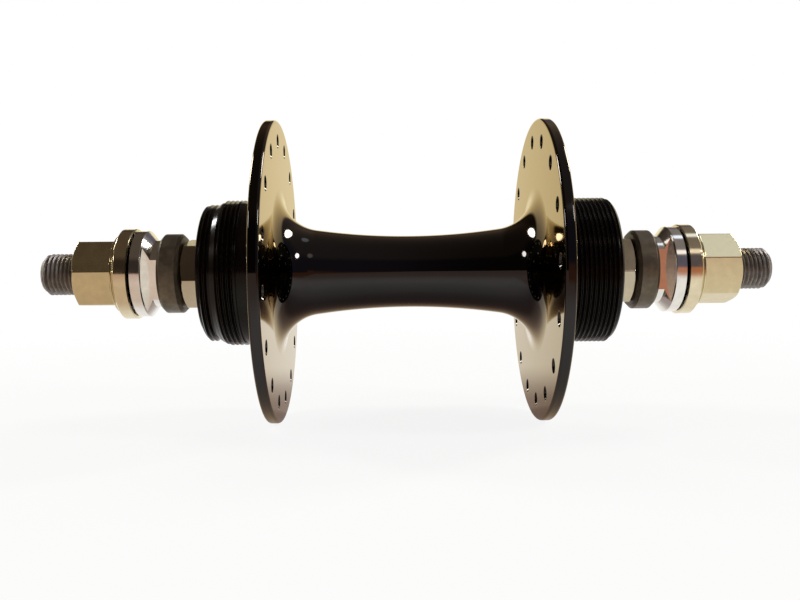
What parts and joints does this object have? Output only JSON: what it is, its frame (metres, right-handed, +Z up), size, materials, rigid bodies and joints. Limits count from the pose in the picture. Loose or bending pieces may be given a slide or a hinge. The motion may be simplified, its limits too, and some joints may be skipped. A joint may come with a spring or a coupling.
{
  "type": "bicycle rear hub",
  "caption": "High-flange bicycle rear hub with a cog thread, a freewheel thread, a solid threaded axle, cartridge bearings and track nuts with captive washers.",
  "frame": {"origin": "middle of the hub on the axle's centre line, halfway between the locknut faces", "axes": "+Y along the axle towards the freewheel side; +Z up; the picture looks along -X"},
  "size_m": [0.0722, 0.1742, 0.0722],
  "materials": {
    "black_anodised": "polished and anodised gloss black",
    "axle_steel": "dark oxide with oil film",
    "bright_plate": "bright nickel-chrome plate",
    "black_oxide": "satin black oxide",
    "bearing_steel": "ground steel",
    "seal_rubber": "moulded nitrile rubber",
    "cage_nylon": "natural nylon"
  },
  "bodies": {
    "axle_set": {"axle": "axle_steel", "spacer_tube": "axle_steel", "cog_side_inner_race": "bearing_steel", "cog_side_bearing_nut": "bright_plate", "cog_side_spacer_nut": "black_oxide", "cog_side_locknut": "bright_plate", "freewheel_side_inner_race": "bearing_steel", "freewheel_side_bearing_nut": "bright_plate", "freewheel_side_spacer_nut": "black_oxide", "freewheel_side_locknut": "bright_plate"},
    "hub": {"hub_shell": "black_anodised", "cog_side_outer_race": "bearing_steel", "cog_side_outer_seal": "seal_rubber", "cog_side_inner_seal": "seal_rubber", "freewheel_side_outer_race": "bearing_steel", "freewheel_side_outer_seal": "seal_rubber", "freewheel_side_inner_seal": "seal_rubber"},
    "cog_side_cage": {"cog_side_ball_cage": "cage_nylon", "cog_side_bearing_balls": "bearing_steel"},
    "freewheel_side_cage": {"freewheel_side_ball_cage": "cage_nylon", "freewheel_side_bearing_balls": "bearing_steel"},
    "cog_side_washer": {"cog_side_captive_washer": "bright_plate"},
    "cog_side_nut": {"cog_side_track_nut": "bright_plate"},
    "freewheel_side_washer": {"freewheel_side_captive_washer": "bright_plate"},
    "freewheel_side_nut": {"freewheel_side_track_nut": "bright_plate"}
  },
  "joints": [
    {"name": "hub_spin", "type": "hinge", "parent": "axle_set", "child": "hub", "pos_m": [0, 0, 0], "axis": [0, 1, 0], "continuous": true},
    {"name": "cog_side_cage_spin", "type": "hinge", "parent": "axle_set", "child": "cog_side_cage", "pos_m": [0, -0.042, 0], "axis": [0, 1, 0], "continuous": true},
    {"name": "freewheel_side_cage_spin", "type": "hinge", "parent": "axle_set", "child": "freewheel_side_cage", "pos_m": [0, 0.042, 0], "axis": [0, 1, 0], "continuous": true},
    {"name": "cog_side_washer_slide", "type": "slide", "parent": "axle_set", "child": "cog_side_washer", "axis": [0, -1, 0], "range_m": [-0.0002, 0.0084]},
    {"name": "cog_side_nut_turn", "type": "hinge", "parent": "cog_side_washer", "child": "cog_side_nut", "pos_m": [0, -0.074, 0], "axis": [0, -1, 0], "range_deg": [-72, 3024]},
    {"name": "freewheel_side_washer_slide", "type": "slide", "parent": "axle_set", "child": "freewheel_side_washer", "axis": [0, 1, 0], "range_m": [-0.0002, 0.0084]},
    {"name": "freewheel_side_nut_turn", "type": "hinge", "parent": "freewheel_side_washer", "child": "freewheel_side_nut", "pos_m": [0, 0.074, 0], "axis": [0, 1, 0], "range_deg": [-72, 3024]}
  ],
  "couplings": [
    {"joint": "cog_side_cage_spin", "follows": "hub_spin", "ratio": 0.63228},
    {"joint": "freewheel_side_cage_spin", "follows": "hub_spin", "ratio": 0.63228},
    {"joint": "cog_side_washer_slide", "follows": "cog_side_nut_turn", "m_per_rad": 0.00015915},
    {"joint": "freewheel_side_washer_slide", "follows": "freewheel_side_nut_turn", "m_per_rad": 0.00015915}
  ]
}
